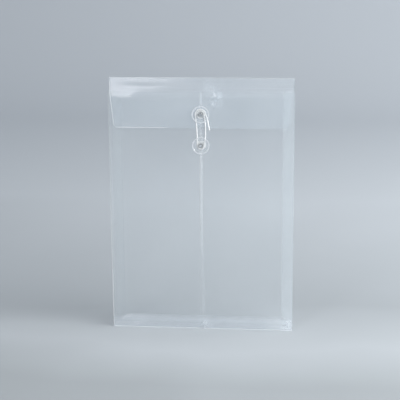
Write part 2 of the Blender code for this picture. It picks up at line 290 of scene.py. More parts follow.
class Shader:
    """A new material with its Principled shader, and short ways to add nodes to it."""

    def __init__(self, name):
        self.material = bpy.data.materials.new(name)
        self.material.use_nodes = True
        self.tree = self.material.node_tree
        self.principled = self.tree.nodes["Principled BSDF"]
        self.place = self.tree.nodes.new("ShaderNodeTexCoord").outputs["Object"]

    def set(self, **values):
        """Set sockets of the Principled shader that are the same all over."""
        for name, value in values.items():
            socket = name.replace("_", " ").title().replace("Ior", "IOR")
            self.principled.inputs[socket].default_value = value

    def link(self, source, name):
        self.tree.links.new(source, self.principled.inputs[name])

    def noise(self, scale, detail=3.0, stretch=(1.0, 1.0, 1.0)):
        mapping = self.tree.nodes.new("ShaderNodeMapping")
        mapping.inputs["Scale"].default_value = stretch
        texture = self.tree.nodes.new("ShaderNodeTexNoise")
        texture.inputs["Scale"].default_value = scale
        texture.inputs["Detail"].default_value = detail
        self.tree.links.new(self.place, mapping.inputs["Vector"])
        self.tree.links.new(mapping.outputs["Vector"], texture.inputs["Vector"])
        return texture.outputs["Fac"]

    def span(self, source, low, high, start=0.3, end=0.7):
        """The source's range from start to end, stretched to run from low to high."""
        node = self.tree.nodes.new("ShaderNodeMapRange")
        node.inputs["From Min"].default_value = start
        node.inputs["From Max"].default_value = end
        node.inputs["To Min"].default_value = low
        node.inputs["To Max"].default_value = high
        self.tree.links.new(source, node.inputs["Value"])
        return node.outputs["Result"]

    def math(self, operation, first, second):
        """The result, held between 0 and 1, of two sources or numbers."""
        node = self.tree.nodes.new("ShaderNodeMath")
        node.operation = operation
        node.use_clamp = True
        for socket, value in zip(node.inputs, (first, second)):
            if isinstance(value, float):
                socket.default_value = value
            else:
                self.tree.links.new(value, socket)
        return node.outputs["Value"]

    def colours(self, source, stops):
        """A ramp of colours along the source, from stops of (position, colour)."""
        ramp = self.tree.nodes.new("ShaderNodeValToRGB")
        elements = ramp.color_ramp.elements
        while len(elements) < len(stops):
            elements.new(0.5)
        for element, (position, colour) in zip(elements, stops):
            element.position = position
            element.color = (*colour, 1.0)
        self.tree.links.new(source, ramp.inputs["Fac"])
        return ramp.outputs["Color"]

    def tint(self, source, pale, deep):
        """Colour the surface from deep to pale along the middle range of the source."""
        tone = self.colours(source, ((0.3, deep), (0.7, pale)))
        self.link(tone, "Base Color")
        return tone

    def bump(self, source, strength, distance):
        node = self.tree.nodes.new("ShaderNodeBump")
        node.inputs["Strength"].default_value = strength
        node.inputs["Distance"].default_value = distance
        self.tree.links.new(source, node.inputs["Height"])
        self.link(node.outputs["Normal"], "Normal")
        return node.outputs["Normal"]

    def axis(self, name):
        """The place along one axis of the part."""
        node = self.tree.nodes.new("ShaderNodeSeparateXYZ")
        self.tree.links.new(self.place, node.inputs["Vector"])
        return node.outputs[name]

    def near(self, centre, reach):
        """1 at the centre, falling evenly to 0 at the reach."""
        node = self.tree.nodes.new("ShaderNodeVectorMath")
        node.operation = "DISTANCE"
        node.inputs[1].default_value = centre
        self.tree.links.new(self.place, node.inputs[0])
        return self.span(node.outputs["Value"], 1.0, 0.0, 0.0, reach)

    def make_clear(self, tone, haze, roughness, normal):
        """Let light straight through, apart from the hazy share, which scatters, and the mirrored share."""
        nodes, links = self.tree.nodes, self.tree.links
        clear = nodes.new("ShaderNodeBsdfTransparent")
        clear.inputs["Color"].default_value = CLEAR_TINT
        glow = nodes.new("ShaderNodeBsdfTranslucent")
        shine = nodes.new("ShaderNodeBsdfAnisotropic")
        facing = nodes.new("ShaderNodeLayerWeight")
        cloudy, film, faced = (nodes.new("ShaderNodeMixShader") for _ in range(3))
        grazing = self.math("POWER", facing.outputs["Facing"], MIRROR_POWER)
        mirrored = self.span(grazing, HEAD_ON_MIRROR, EDGE_ON_MIRROR, 0.0, 1.0)
        links.new(tone, glow.inputs["Color"])
        links.new(roughness, shine.inputs["Roughness"])
        links.new(normal, shine.inputs["Normal"])
        for mix, share, first, second in ((cloudy, None, self.principled, glow), (film, haze, clear, cloudy),
                                          (faced, mirrored, film, shine)):
            if share:
                links.new(share, mix.inputs["Fac"])
            links.new(first.outputs[0], mix.inputs[1])
            links.new(second.outputs[0], mix.inputs[2])
        links.new(faced.outputs["Shader"], nodes["Material Output"].inputs["Surface"])


def clear_plastic(name, tints, hazes, fade=None, hazy_spots=(), spot_haze=0.0):
    """Clear plastic that is a little hazy and glossy.

    tints are its pale and its deep one, and hazes the least and the most.
    fade is (height, share of the haze below it, height, share above it).
    The last two give the (place, reach) of spots made hazier and paler, and the most haze that they add.
    """
    shader = Shader(name)
    shader.set(specular_ior_level=0.0)
    clouds = shader.noise(16.0, 4.0)
    streaks = shader.noise(1.0, 2.0, (420.0, 420.0, 9.0))
    grain = shader.noise(1500.0, 2.0)
    tone = shader.tint(clouds, *tints)
    haze = shader.math("ADD", shader.span(clouds, *hazes), shader.span(streaks, -0.001, 0.001))
    if fade:
        low, below, high, above = fade
        haze = shader.math("MULTIPLY", haze, shader.span(shader.axis("Z"), below, above, low, high))
    for centre, reach in hazy_spots:
        creases = shader.span(shader.noise(260.0, 3.0), 0.0, spot_haze, 0.42, 0.62)
        haze = shader.math("ADD", haze, shader.math("MULTIPLY", creases, shader.near(centre, reach)))
    roughness = shader.math("ADD", shader.span(streaks, 0.11, 0.13), shader.span(grain, 0.0, 0.03))
    shader.link(roughness, "Roughness")
    relief = shader.math("ADD", shader.span(grain, 0.0, 0.03), shader.span(clouds, 0.0, 0.9))
    normal = shader.bump(relief, 0.10, 0.0006)
    shader.make_clear(tone, haze, roughness, normal)
    return shader.material


def film_material():
    return clear_plastic("clear film", FILM_TINTS, FILM_HAZE)


def front_material():
    """Film of the front, hazier below the bottom crease as painted light on the bottom strip, and hazier
    where it is crumpled, partly whitened creases and partly a painted highlight.
    """
    foot = (BOTTOM_CREASE_Z - 0.0008, FOOT_PAINTED_LIGHT_HAZE, BOTTOM_CREASE_Z + 0.0002, 1.0)
    return clear_plastic("front film", FILM_TINTS, FILM_HAZE, foot, CRUMPLES, CRUMPLE_HAZE_AND_HIGHLIGHT)


def left_gusset_shaded_material():
    """Film of the left gusset, the clearest, so its strip shows less: painted shade for the side that the
    light from the right leaves dim.
    """
    return clear_plastic("left gusset film with painted shade", FILM_TINTS, (0.012, 0.018))


def flap_material():
    """Film of the flap, a little cloudier and bluer than the body."""
    tints = ((0.87, 0.945, 1.0), (0.83, 0.92, 1.0))
    return clear_plastic("flap film", tints, (0.088, 0.114), None, FLAP_PALE_SPOTS, FLAP_SPOT_HAZE)


def lit_bottom_material():
    """Film of the bottom gusset, pressed flat, made hazier as painted light on the strip where the bag
    stands.
    """
    return clear_plastic("bottom film with painted light", ((0.93, 0.97, 1.0), (0.89, 0.94, 0.98)), (0.078, 0.10))


def fold_highlight_material():
    """Film whitened along its folds, its haze partly a painted highlight for the bright fold lines,
    strongest low down.
    """
    upward = (0.06, 1.0, 0.20, 0.3)
    return clear_plastic("fold film with painted highlight", WHITE_TINTS, (0.24, 0.34), upward)


def edge_highlight_material():
    """Film made hazier along edges that stand out, a painted highlight for their bright lines, most of all
    where the bag stands.
    """
    tints = ((0.96, 0.98, 1.0), (0.92, 0.95, 0.98))
    upward = (0.01, 1.4, 0.10, 0.7)
    return clear_plastic("edge film with painted highlight", tints, (0.42, 0.58), upward)


def weld_material():
    """Film whitened by its weld, which fades towards the foot of the bag."""
    downward = (0.09, 0.35, 0.17, 1.0)
    return clear_plastic("welded film", WHITE_TINTS, (0.15, 0.20), downward)


def button_material():
    return clear_plastic("clear button", ((0.94, 0.96, 0.97), (0.88, 0.91, 0.93)), (0.05, 0.08))


def lip_highlight_material():
    """The button's raised lip, whose curved faces gather the light, made hazier than the disc as a painted
    highlight on its rim.
    """
    return clear_plastic("button lip with painted highlight", ((0.95, 0.97, 1.0), (0.91, 0.94, 0.97)), (0.32, 0.46))


def shaded_metal_material():
    shader = Shader("plated eyelet")
    shader.set(metallic=1.0)
    wear = shader.noise(900.0, 4.0)
    turning = shader.noise(1.0, 2.0, (300.0, 6000.0, 300.0))
    # A darker metal than the bore's: painted shade for the dark surroundings the eyelet mirrors
    shader.tint(wear, (0.48, 0.49, 0.50), (0.34, 0.35, 0.36))
    shader.link(shader.span(wear, 0.22, 0.42), "Roughness")
    shader.bump(turning, 0.2, 0.00005)
    return shader.material


def lit_bore_material():
    """The eyelet's bore, in near-white smooth metal: painted light for the bright centre of the eyelet."""
    shader = Shader("eyelet bore with painted light")
    shader.set(metallic=1.0)
    wear = shader.noise(900.0, 4.0)
    shader.tint(wear, (0.97, 0.97, 0.98), (0.92, 0.93, 0.94))
    shader.link(shader.span(wear, 0.08, 0.16), "Roughness")
    shader.bump(wear, 0.05, 0.00003)
    return shader.material


def washer_material():
    shader = Shader("white washer")
    shader.set(specular_ior_level=0.4)
    mottle = shader.noise(600.0, 4.0)
    shader.tint(mottle, (0.96, 0.96, 0.95), (0.90, 0.91, 0.91))
    shader.link(shader.span(mottle, 0.42, 0.60), "Roughness")
    shader.link(shader.span(mottle, 0.62, 0.72), "Alpha")
    shader.bump(mottle, 0.15, 0.00008)
    return shader.material


def string_material():
    """White cotton with fine fibres and a soft sheen."""
    shader = Shader("white cotton")
    shader.set(specular_ior_level=0.2, sheen_weight=0.4, sheen_roughness=0.5)
    fibres = shader.noise(4200.0, 5.0)
    mottle = shader.noise(260.0, 3.0)
    shader.tint(mottle, (0.79, 0.80, 0.80), (0.67, 0.69, 0.70))
    shader.link(shader.span(fibres, 0.80, 0.98), "Roughness")
    shader.bump(fibres, 0.6, 0.00012)
    return shader.material


def floor_material():
    shader = Shader("studio paper with painted light and shade")
    shader.set(specular_ior_level=0.15)
    mottle = shader.noise(2.2, 3.0)
    # The paper's colour changes from front to back, painting light and shade on the floor
    depth = shader.span(shader.axis("Y"), 0.0, 1.0, *PAINTED_FLOOR_SPAN)
    painted_floor_place = shader.math("ADD", depth, shader.span(mottle, 0.0, 0.04))
    shader.link(shader.colours(painted_floor_place, PAINTED_FLOOR_LIGHT), "Base Color")
    shader.link(shader.span(mottle, 0.75, 0.85), "Roughness")
    return shader.material


# Mesh helpers

def finished(name, vertices, faces, material, sharp=50.0):
    """A closed, smoothly shaded mesh object with its faces outward."""
    shape = bmesh.new()
    corners = [shape.verts.new(vertex) for vertex in vertices]
    for face in faces:
        shape.faces.new([corners[index] for index in face])
    bmesh.ops.recalc_face_normals(shape, faces=shape.faces)
    mesh = bpy.data.meshes.new(name)
    shape.to_mesh(mesh)
    shape.free()
    mesh.shade_smooth()
    mesh.set_sharp_from_angle(angle=math.radians(sharp))
    mesh.materials.append(material)
    item = bpy.data.objects.new(name, mesh)
    bpy.context.scene.collection.objects.link(item)
    return item


def film_sheet(name, rows, material):
    """A closed film round rows of (point, thickness), thickened to both sides of the points."""
    points = numpy.array([[tuple(point) for point, thickness in row] for row in rows])
    thickness = numpy.array([[thickness for point, thickness in row] for row in rows])
    down = numpy.gradient(points, axis=0)
    along = numpy.gradient(points, axis=1)
    normals = numpy.cross(along, down)
    normals /= numpy.linalg.norm(normals, axis=2, keepdims=True)
    offset = normals * thickness[:, :, None] / 2.0
    count, width = thickness.shape
    sides = [(points + offset).reshape(-1, 3), (points - offset).reshape(-1, 3)]
    vertices = numpy.concatenate(sides).tolist()
    far = count * width
    faces = []
    for r in range(count - 1):
        for c in range(width - 1):
            a = r * width + c
            faces.append((a, a + 1, a + width + 1, a + width))
            faces.append((far + a, far + a + width, far + a + width + 1, far + a + 1))
    border = list(range(width))
    border += [r * width + width - 1 for r in range(1, count)]
    border += [(count - 1) * width + c for c in range(width - 2, -1, -1)]
    border += [r * width for r in range(count - 2, 0, -1)]
    for a, b in zip(border, border[1:] + border[:1]):
        faces.append((a, b, far + b, far + a))
    return finished(name, vertices, faces, material)


def turned(name, profile, seat, sides, material, sharp=35.0):
    """A closed profile of (radius, height in front of the seat), swept round the seat's axis."""
    vertices, faces = [], []
    count = len(profile)
    for side in range(sides):
        angle = 2.0 * math.pi * side / sides
        for radius, height in profile:
            vertices.append(seat + Vector((radius * math.sin(angle), -height, radius * math.cos(angle))))
    for side in range(sides):
        following = (side + 1) % sides
        for point in range(count):
            after = (point + 1) % count
            faces.append((side * count + point, side * count + after,
                          following * count + after, following * count + point))
    return finished(name, vertices, faces, material, sharp)


def rounded(profile, reach, steps=4):
    """The closed profile with each corner rounded off along its two sides, to the reach at most."""
    def toward(corner, other):
        side = other - corner
        return corner + side.normalized() * min(reach, side.length * CORNER_SHARE)

    made = []
    count = len(profile)
    for index in range(count):
        before, corner, after = (Vector(profile[(index + k) % count]) for k in (-1, 0, 1))
        start = toward(corner, before)
        end = toward(corner, after)
        for step in range(steps + 1):
            t = step / steps
            made.append(tuple((1 - t) ** 2 * start + 2 * t * (1 - t) * corner + t ** 2 * end))
    return made


def recolour(item, seat, chosen, material):
    """Give a second material to the faces whose distance from the seat's axis is chosen."""
    item.data.materials.append(material)
    for face in item.data.polygons:
        if chosen(math.hypot(face.center.x - seat.x, face.center.z - seat.z)):
            face.material_index = 1


def tube(name, path, section, material, sharp=60.0):
    """A closed tube along the path; section(distance, angle) gives its radius."""
    points = [Vector(point) for point in path]
    befores = points[:1] + points[:-1]
    afters = points[1:] + points[-1:]
    tangents = [(after - before).normalized() for before, after in zip(befores, afters)]
    side = tangents[0].orthogonal().normalized()
    vertices, faces = [], []
    distance = 0.0
    sides = TUBE_SIDES
    for index, (point, tangent) in enumerate(zip(points, tangents)):
        if index:
            distance += (point - points[index - 1]).length
            side = tangents[index - 1].rotation_difference(tangent) @ side
        side = (side - tangent * side.dot(tangent)).normalized()
        other = tangent.cross(side)
        for k in range(sides):
            angle = 2.0 * math.pi * k / sides
            radius = section(distance, angle)
            vertices.append(point + (side * math.cos(angle) + other * math.sin(angle)) * radius)
    last = (len(points) - 1) * sides
    for start in range(0, last, sides):
        for k in range(sides):
            after = (k + 1) % sides
            faces.append((start + k, start + after, start + sides + after, start + sides + k))
    faces.append(tuple(range(sides)))
    faces.append(tuple(range(last, last + sides)))
    return finished(name, vertices, faces, material, sharp)


def spread(low, high, count, fine_low=False, fine_high=False):
    """Evenly spread values, with a few close together at an end whose edge is melted."""
    values = list(numpy.linspace(low, high, count))
    steps = [EDGE_REACH * share for share in EDGE_STEPS]
    if fine_low:
        values += [low + step for step in steps]
    if fine_high:
        values += [high - step for step in steps]
    return sorted(values)


def spread_across(count):
    """Values of x from one side fold to the other."""
    return spread(-HALF_WIDTH + LEAF_GAP, HALF_WIDTH - LEAF_GAP, count)


def edge_thickness(distance, x):
    """The film's thickness that far from a melted edge, whose bead is fuller on the left."""
    share = max(distance, 0.0) / EDGE_REACH
    fullness = 1.0 - BEAD_LOSS * ease(*BEAD_FADE, x)
    return FILM + EDGE_BEAD * fullness * max(0.0, 1.0 - (share - BEAD_MIDDLE) ** 2 / BEAD_FALL)


def cut_hole(item, seat):
    """Punch the rivet's hole through a film."""
    profile = [(0.0, -HOLE_CUT), (HOLE_RADIUS, -HOLE_CUT), (HOLE_RADIUS, HOLE_CUT), (0.0, HOLE_CUT)]
    cutter = turned("cutter", profile, seat, HOLE_SIDES, item.data.materials[0])
    weld = cutter.modifiers.new("close", "WELD")
    weld.merge_threshold = 0.00001
    cut = item.modifiers.new("hole", "BOOLEAN")
    cut.operation = "DIFFERENCE"
    cut.solver = "EXACT"
    cut.object = cutter
    ready = item.evaluated_get(bpy.context.evaluated_depsgraph_get())
    mesh = bpy.data.meshes.new_from_object(ready)
    item.modifiers.clear()
    item.data = mesh
    bpy.data.objects.remove(cutter, do_unlink=True)


def dress(item, body, slot, *nodes):
    """Let a piece ride on its body, None if blended, and stand for its nodes; slot is not used."""
    if body:
        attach(item, body)
    if nodes:
        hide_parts(*nodes)


# Film pieces

def crumpled(x, z):
    """How much the front is crumpled at a place, from 0 to 1."""
    most = max(1.0 - math.hypot(x - centre[0], z - centre[2]) / reach for centre, reach in CRUMPLES)
    return ease(0.0, 1.0, most) * ease(0.0, CRUMPLE_FROM_FOOT, z)


def front_swell(x, z):
    """How far the front film stands out between its folds, its weld and its button."""
    from_seat = math.hypot(x - LOWER_SEAT.x, z - LOWER_SEAT.z)
    from_folds = ease(0.0, SWELL_FROM_SIDE, HALF_WIDTH - abs(x)) * ease(0.0, SWELL_FROM_FOOT, z)
    open_area = from_folds * (1.0 - ease(*SWELL_ENDS, z))
    weld_pull = 1.0 - WELD_HOLD * math.exp(-(x / WELD_HOLD_REACH) ** 2)
    button_pull = ease(*FRONT_BUTTON_HOLD, from_seat)
    waves = FRONT_WAVES * ripple(x, z, 0.055, 3.1) + FRONT_RIPPLES * ripple(x, z, 0.018, 7.7)
    crumple = CRUMPLE_RISE * abs(ripple(x, z, 0.008, 1.3)) * crumpled(x, z)
    return open_area * weld_pull * button_pull * (FRONT_SWELL + waves) + crumple


def make_back(material):
    """The flat back, which sags inward a little between its held edges."""
    levels, columns = BACK_GRID
    rows = []
    for z in spread(BOTTOM_Z, TOP_Z - LEAF_GAP, levels):
        row = []
        for x in spread_across(columns):
            hold = ease(0.0, BACK_HOLD, HALF_WIDTH - abs(x)) * ease(0.0, BACK_HOLD, z)
            hold = hold * ease(0.0, BACK_TOP_HOLD, TOP_Z - z)
            inward = hold * BACK_SAG * (0.5 + 0.5 * ripple(x, z, 0.06, 11.0))
            row.append((Vector((x, BACK_Y + FILM / 2.0 - inward, z)), FILM))
        rows.append(row)
    dress(film_sheet("back_film", rows, material), "back", "film", "back_panel")


def make_front(material):
    """The swelling front, in one film, with the lower rivet's hole."""
    levels, columns = FRONT_GRID
    rows = []
    for z in spread(BOTTOM_Z, MOUTH_Z, levels):
        row = []
        for x in spread_across(columns):
            point = Vector((x, FRONT_Y - FILM / 2.0 - front_swell(x, z), z))
            row.append((point, FILM))
        rows.append(row)
    item = film_sheet("front_film", rows, material)
    cut_hole(item, LOWER_SEAT)
    dress(item, "front", "film", "front_left_panel", "front_right_panel")


def make_weld(material):
    """The raised line down the middle of the front, broken where the lower button is riveted."""
    clear = BOSS_RADIUS + WELD_GAP
    spans = (("centre_weld_low", BOTTOM_Z, LOWER_SEAT.z - clear, "centre_seam_lower"),
             ("centre_weld_high", LOWER_SEAT.z + clear, MOUTH_Z - EDGE_REACH, "centre_seam_upper"))
    for name, low, high, node in spans:
        rows = []
        for z in spread(low, high, max(20, round((high - low) / WELD_STEP))):
            row = []
            foot = 1.0 - ease(*WELD_FOOT, z)
            uneven = WELD_UNEVENNESS * ripple(0.0, z, 0.03, 5.0)
            half = WELD_WIDTH / 2.0 * (1.0 + WELD_WIDENING * foot + uneven)
            for step in range(-WELD_HALF_COLUMNS, WELD_HALF_COLUMNS + 1):
                share = step / WELD_HALF_COLUMNS
                x = half * share + WELD_DRIFT * foot
                rise = WELD_RISE * (1.0 - share * share) + WELD_EDGE
                face = FRONT_Y - FILM - front_swell(x, z)
                row.append((Vector((x, face - rise / 2.0, z)), rise))
            rows.append(row)
        dress(film_sheet(name, rows, material), "front", "film", node)


def leaf_rows(edge, crease, ends, lengthwise, seed):
    """Rows of a gusset leaf from a panel's edge to its inner crease; ends(from_edge) gives its two ends.

    The leaf lies clear of its panel at the edge and of the other leaf at the crease, so it folds flat.
    """
    levels, columns = LEAF_GRID
    reach = (crease - edge).length
    direction = (crease - edge) / reach
    away = direction.cross(lengthwise).normalized()
    if away.y * (edge.y - crease.y) > 0.0:
        away.negate()
    rows = []
    for along in spread(LEAF_GAP, reach - LEAF_GAP, levels):
        low, high = ends(along)
        clear = FILM / 2.0 * (1.0 - 2.0 * along / reach)
        hold = ease(0.0, LEAF_HOLD, along) * ease(0.0, LEAF_HOLD, reach - along)
        row = []
        for place in numpy.linspace(low, high, columns):
            waves = hold * LEAF_WAVES * ripple(along * 3.0, place, 0.02, seed)
            row.append((edge + direction * along + lengthwise * place + away * (clear + waves), FILM))
        rows.append(row)
    return rows


def make_gussets(film, clear, pressed):
    """The three folded gussets, two leaves each, mitred where they meet."""
    upright, across = Vector((0.0, 0.0, 1.0)), Vector((1.0, 0.0, 0.0))

    def side_ends(from_edge):
        return BOTTOM_Z + from_edge + MITRE_GAP, MOUTH_Z

    def bottom_ends(from_edge):
        half = HALF_WIDTH - from_edge - MITRE_GAP
        return -half, half

    def on_axis(name, lengthwise):
        point = pivots[name].copy()
        return point - lengthwise * point.dot(lengthwise)

    plan = (("right", "bag_expand", "right_crease_fold", side_ends, upright, film),
            # The left gusset's clearer film is painted shade
            ("left", "left_edge_fold", "left_crease_fold", side_ends, upright, clear),
            # The bottom leaves' hazier film is painted light
            ("bottom", "bottom_edge_fold", "bottom_crease_fold", bottom_ends, across, pressed))
    for name, rear_edge, crease, ends, lengthwise, material in plan:
        back = on_axis(rear_edge, lengthwise)
        middle = on_axis(crease, lengthwise)
        front = Vector((back.x, FRONT_Y, back.z))
        for end, edge, seed in (("rear", back, 21.0), ("front", front, 25.0)):
            rows = leaf_rows(edge, middle, ends, lengthwise, seed + len(name))
            item = film_sheet(f"{name}_leaf_{end}", rows, material)
            dress(item, f"{name}_{end}", "film", f"{name}_gusset_{end}")


def fold_line(name, start, end, body, radius, material):
    """A pressed fold: a thin rounded ridge of film along a crease."""
    count = max(12, round((end - start).length / FOLD_STEP))
    path = [start.lerp(end, step / count) for step in range(count + 1)]
    seed = (start.x + 2.0 * start.y + 3.0 * start.z) * 40.0

    def section(distance, angle):
        return radius * (1.0 + FOLD_UNEVENNESS * noise.noise(Vector((distance * 60.0, seed, 0.0))))

    dress(tube(name, path, section, material), body, "film")


def make_folds(film, fold_highlight, edge_highlight, welded):
    """Fold lines on the panels' side and lower edges, the gussets' inner creases and the ridge."""
    def upright(name, x, y, low, body, *kind):
        fold_line(name, Vector((x, y, low)), Vector((x, y, MOUTH_Z)), body, *kind)

    def level(name, y, z, half, body, *kind):
        fold_line(name, Vector((-half, y, z)), Vector((half, y, z)), body, *kind)

    crease_x = pivots["right_crease_fold"].x
    crease_y = pivots["right_crease_fold"].y
    mitre = (pivots["right_crease_fold"] - pivots["bag_expand"]).length + MITRE_GAP
    plain = (PLAIN_FOLD_RADIUS, film)
    white = (WHITE_FOLD_RADIUS, fold_highlight)
    # The left front fold takes the hazier fold film: a painted highlight down the bag's left edge
    for side, sign, kind in (("right", 1.0, plain), ("left", -1.0, white)):
        upright(f"{side}_back_fold", sign * HALF_WIDTH, BACK_Y, BOTTOM_Z, "back", *plain)
        upright(f"{side}_front_fold", sign * HALF_WIDTH, FRONT_Y, BOTTOM_Z, "front", *kind)
        upright(f"{side}_inner_fold", sign * crease_x, crease_y, BOTTOM_Z + mitre, f"{side}_rear", *plain)
    level("bottom_back_fold", BACK_Y, BOTTOM_Z, HALF_WIDTH, "back", *plain)
    # The bottom front fold's hazier edge film is a painted highlight along the foot
    level("bottom_front_fold", FRONT_Y, BOTTOM_Z, HALF_WIDTH, "front", WHITE_FOLD_RADIUS, edge_highlight)
    level("bottom_inner_fold", crease_y, BOTTOM_CREASE_Z, HALF_WIDTH - mitre, "bottom_rear", *plain)
    ridge = pivots["ridge_fold"]
    # The ridge's line takes the welded film's haze, a painted highlight along the ridge
    level("ridge_fold_line", ridge.y, ridge.z, HALF_WIDTH, "back_shoulder", WHITE_FOLD_RADIUS, welded)


def make_rear_slope(material):
    """The back's top stretch, leaning forward to the ridge."""
    levels, columns = SLOPE_GRID
    low = Vector((0.0, BACK_Y, TOP_Z))
    high = pivots["ridge_fold"]
    length = (high - low).length
    slope = (high - low).normalized()
    outward = Vector((0.0, slope.z, -slope.y))
    rows = []
    for along in spread(LEAF_GAP, length - LEAF_GAP, levels):
        crown = REAR_CROWN * math.sin(math.pi * along / length)
        row = []
        for x in spread_across(columns):
            waves = crown * ripple(x, along, 0.03, 31.0)
            proud = outward * (FILM / 2.0 + crown + waves)
            row.append((Vector((x, 0.0, 0.0)) + low + slope * along + proud, FILM))
        rows.append(row)
    item = film_sheet("rear_slope", rows, material)
    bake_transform(item)
    dress(item, None, "film", "back_crease", "back_shoulder")


def flap_half(from_ridge):
    """Half the flap's width, that far below the ridge."""
    return HALF_WIDTH - FLAP_SLANT * from_ridge


def flap_dent(x, z):
    """Buckles of the flap: a curved one right of the upper button, and a puffed upper left corner."""
    away = Vector((x, z)) - Vector(DENT_CENTRE)
    angle = math.degrees(math.atan2(away.y, away.x))
    ring = math.exp(-((away.length - DENT_RADIUS) / DENT_WIDTH) ** 2)
    ring = ring * ease(*RING_RISES, angle) * (1.0 - ease(*RING_FALLS, angle))
    from_left = x + HALF_WIDTH
    puff = ease(0.0, PUFF_FULL, from_left) * (1.0 - ease(*PUFF_ENDS, from_left)) * ease(*PUFF_STARTS, z)
    return DENT_RISE * ring + PUFF_RISE * puff + PUFF_RIPPLE * puff * ripple(x, z, 0.010, 41.0)


def flap_profile():
    """Points down the flap from its crease: a soft shoulder, then straight down to the lower edge."""
    start = pivots["flap_opening"] + Vector((0.0, FILM / 2.0, 0.0))
    slope = (pivots["flap_bend"] - pivots["ridge_fold"]).normalized()
    turn = start + slope * ((FLAP_FACE_Y - start.y) / slope.y)
    end = Vector((0.0, FLAP_FACE_Y, turn.z - SHOULDER_DROP))
    points = []
    for step in range(SHOULDER_ROWS + 1):
        t = step / SHOULDER_ROWS
        points.append((1 - t) ** 2 * start + 2 * t * (1 - t) * turn + t ** 2 * end)
    for z in spread(FLAP_END_Z, end.z - SHOULDER_STEP, FLAP_ROWS, fine_low=True)[::-1]:
        points.append(Vector((0.0, FLAP_FACE_Y, z)))
    return points


def make_flap(material, whitened):
    """The flap with its soft shoulder, slanted sides and rounded lower corners, its free edges melted."""
    profile = flap_profile()
    strip = (pivots["ridge_fold"] - pivots["flap_opening"]).length
    rows = []
    travelled = strip
    for index, level in enumerate(profile):
        if index:
            travelled += (level - profile[index - 1]).length
        from_crease = travelled - strip
        from_end = level.z - FLAP_END_Z
        in_corner = max(FLAP_CORNER - from_end, 0.0)
        drawn_in = FLAP_CORNER - math.sqrt(max(FLAP_CORNER ** 2 - in_corner ** 2, 0.0))
        half = flap_half(travelled) - drawn_in
        row = []
        for x in spread(-half, half, FLAP_COLUMNS, fine_low=True, fine_high=True):
            edge = edge_thickness(min(half - abs(x), from_end), x)
            hold = ease(0.0, FLAP_SIDE_HOLD, half - abs(x)) * ease(0.0, FLAP_CREASE_HOLD, from_crease)
            button_pull = ease(*FLAP_BUTTON_HOLD, math.hypot(x - UPPER_SEAT.x, level.z - UPPER_SEAT.z))
            waves = FLAP_WAVES * (1.0 + ripple(x, level.z, 0.035, 51.0))
            buckles = ease(0.0, BUCKLE_FADE, from_crease) * flap_dent(x, level.z)
            lift = hold * button_pull * (buckles + waves)
            row.append((level + Vector((x, -lift, 0.0)), edge))
        rows.append(row)
    item = film_sheet("flap_film", rows, material)
    cut_hole(item, UPPER_SEAT)
    # The flap's left edges take the hazier edge film, a painted highlight along them
    item.data.materials.append(whitened)
    for face in item.data.polygons:
        from_end = face.center.z - FLAP_END_Z
        from_side = flap_half(travelled - from_end) - abs(face.center.x)
        if face.center.x < EDGE_HIGHLIGHT_TO and min(from_end, from_side) < EDGE_REACH:
            face.material_index = 1
    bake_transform(item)
    dress(item, None, "film", "flap_shoulder", "flap")


def make_ridge_strip(material):
    """The narrow strip of the flap between the ridge and the crease that it opens on."""
    ridge, opening = pivots["ridge_fold"], pivots["flap_opening"]
    slope = (pivots["flap_bend"] - ridge).normalized()
    outward = Vector((0.0, slope.z, -slope.y))
    length = (opening - ridge).dot(slope)
    rows = []
    for along in spread(LEAF_GAP, length, STRIP_ROWS):
        half = flap_half(along)
        bead = ease(0.0, length, along)
        row = []
        for x in spread(-half, half, FLAP_COLUMNS, fine_low=True, fine_high=True):
            point = ridge + slope * along + outward * (FILM / 2.0) + Vector((x, 0.0, 0.0))
            row.append((point, FILM + bead * (edge_thickness(half - abs(x), x) - FILM)))
        rows.append(row)
    dress(film_sheet("ridge_strip", rows, material), "flap_crease", "film", "flap_crease")


# Closure

def make_button(name, seat, material, lip):
    """Boss, disc and a raised lip with a shallow groove inside it."""
    bore = RIVET_BARREL + SPIN_GAP
    groove = DISC_FRONT - GROOVE_DEPTH
    lip_top, lip_foot, groove_end, slope_end = (BUTTON_RADIUS - step for step in LIP_STEPS)
    profile = [(bore, SEAT_GAP), (BOSS_RADIUS, SEAT_GAP), (BOSS_RADIUS, DISC_BACK),
               (BUTTON_RADIUS, DISC_BACK), (BUTTON_RADIUS, LIP_FRONT), (lip_top, LIP_FRONT),
               (lip_foot, groove), (groove_end, groove), (slope_end, DISC_FRONT), (bore, DISC_FRONT)]
    item = turned(name + "_disc", rounded(profile, BUTTON_ROUND), seat, BUTTON_SIDES, material)
    # The lip's faces take the hazier film, a painted highlight round the rim
    recolour(item, seat, lambda radius: radius > BUTTON_RADIUS - LIP_WIDTH, lip)
    dress(item, name + "_button", "button", name + "_button")


def make_rivet(name, seat, body, material, polished):
    """A hollow eyelet with a rolled head in front of the button and a rolled tail behind the washer."""
    head_back = RIVET_FRONT - RIVET_FLANGE
    tail_front = RIVET_BACK + RIVET_FLANGE
    profile = [(RIVET_BORE, RIVET_BACK), (RIVET_TAIL, RIVET_BACK), (RIVET_TAIL, tail_front),
               (RIVET_BARREL, tail_front), (RIVET_BARREL, head_back), (RIVET_HEAD, head_back),
               (RIVET_HEAD, RIVET_FRONT), (RIVET_BORE, RIVET_FRONT)]
    item = turned(name + "_eyelet", rounded(profile, RIVET_ROUND), seat, RING_SIDES, material)
    # The bore takes the near-white metal, painted light; the rest keeps the darker metal, painted shade
    recolour(item, seat, lambda radius: radius < RIVET_BORE + BORE_MARGIN, polished)
    dress(item, body, "metal", name + "_rivet")


